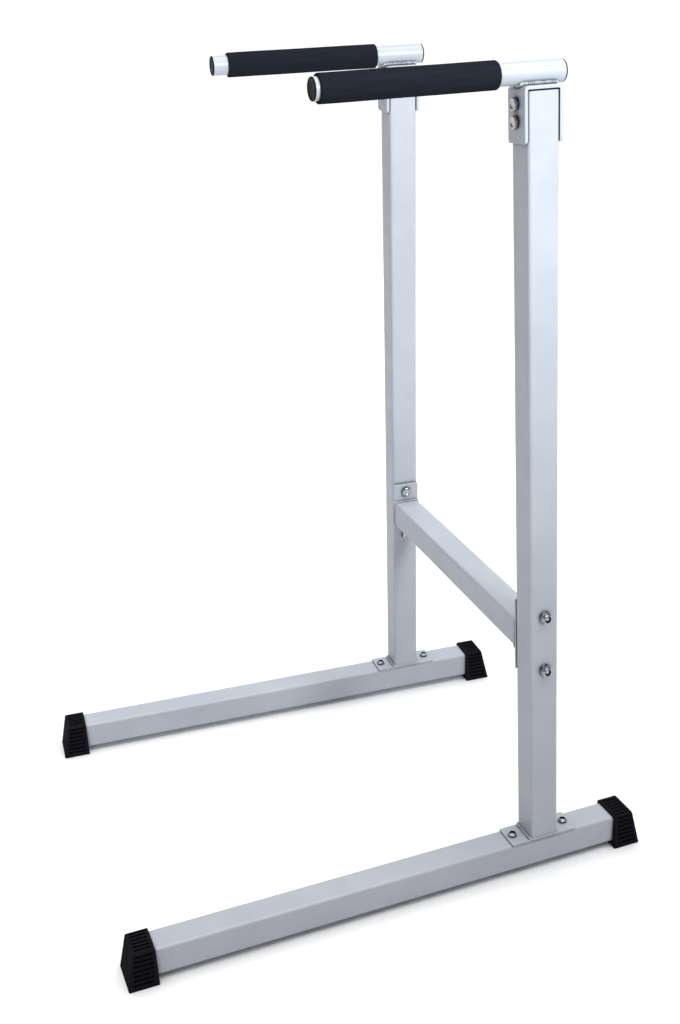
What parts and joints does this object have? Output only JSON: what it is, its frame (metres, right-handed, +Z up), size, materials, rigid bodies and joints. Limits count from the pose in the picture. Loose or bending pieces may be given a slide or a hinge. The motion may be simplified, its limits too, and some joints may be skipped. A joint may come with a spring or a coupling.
{
  "type": "dip stand",
  "caption": "Free-standing dip stand: square-tube side frames on flared rubber feet, a bolted crossbar and foam-gripped parallel handles.",
  "frame": {"origin": "on the floor, under the middle of the stand's bounding box", "axes": "+Z up; -Y is the way the handles reach from the uprights; +X is towards the right-hand side frame of a user who stands between the handles facing +Y"},
  "size_m": [0.7654, 0.923, 1.3272],
  "materials": {
    "paint": "light silver-grey powder coat, semi-gloss",
    "foot_rubber": "matte, finely ribbed",
    "black_plastic": "satin moulded",
    "grip_foam": "dense closed-cell foam, soft sheen",
    "zinc": "bright zinc plate"
  },
  "bodies": {
    "stand": {"crossbar": "paint", "right_base_tube": "paint", "right_foot_plate": "paint", "right_upright": "paint", "right_handle_bracket": "paint", "right_handle_tube": "paint", "right_end_plate": "paint", "right_base_cap_front": "foot_rubber", "right_base_cap_rear": "foot_rubber", "right_upright_plug": "black_plastic", "right_handle_plug_front": "black_plastic", "right_handle_plug_rear": "black_plastic", "right_foot_front_bolt": "zinc", "right_foot_front_nut": "zinc", "right_foot_rear_bolt": "zinc", "right_foot_rear_nut": "zinc", "right_bracket_upper_bolt": "zinc", "right_bracket_upper_nut": "zinc", "right_bracket_lower_bolt": "zinc", "right_bracket_lower_nut": "zinc", "right_crossbar_upper_bolt": "zinc", "right_crossbar_upper_nut": "zinc", "right_crossbar_upper_washer": "zinc", "right_crossbar_lower_bolt": "zinc", "right_crossbar_lower_nut": "zinc", "right_crossbar_lower_washer": "zinc", "left_base_tube": "paint", "left_foot_plate": "paint", "left_upright": "paint", "left_handle_bracket": "paint", "left_handle_tube": "paint", "left_end_plate": "paint", "left_base_cap_front": "foot_rubber", "left_base_cap_rear": "foot_rubber", "left_upright_plug": "black_plastic", "left_handle_plug_front": "black_plastic", "left_handle_plug_rear": "black_plastic", "left_foot_front_bolt": "zinc", "left_foot_front_nut": "zinc", "left_foot_rear_bolt": "zinc", "left_foot_rear_nut": "zinc", "left_bracket_upper_bolt": "zinc", "left_bracket_upper_nut": "zinc", "left_bracket_lower_bolt": "zinc", "left_bracket_lower_nut": "zinc", "left_crossbar_upper_bolt": "zinc", "left_crossbar_upper_nut": "zinc", "left_crossbar_upper_washer": "zinc", "left_crossbar_lower_bolt": "zinc", "left_crossbar_lower_nut": "zinc", "left_crossbar_lower_washer": "zinc"},
    "right_grip": {"right_grip": "grip_foam"},
    "left_grip": {"left_grip": "grip_foam"}
  },
  "joints": [
    {"name": "right_grip_slide", "type": "slide", "parent": "stand", "child": "right_grip", "axis": [0.0384, -0.9993, 0], "range_m": [-0.029, 0.006]},
    {"name": "left_grip_slide", "type": "slide", "parent": "stand", "child": "left_grip", "axis": [-0.0384, -0.9993, 0], "range_m": [-0.01, 0.025]}
  ]
}
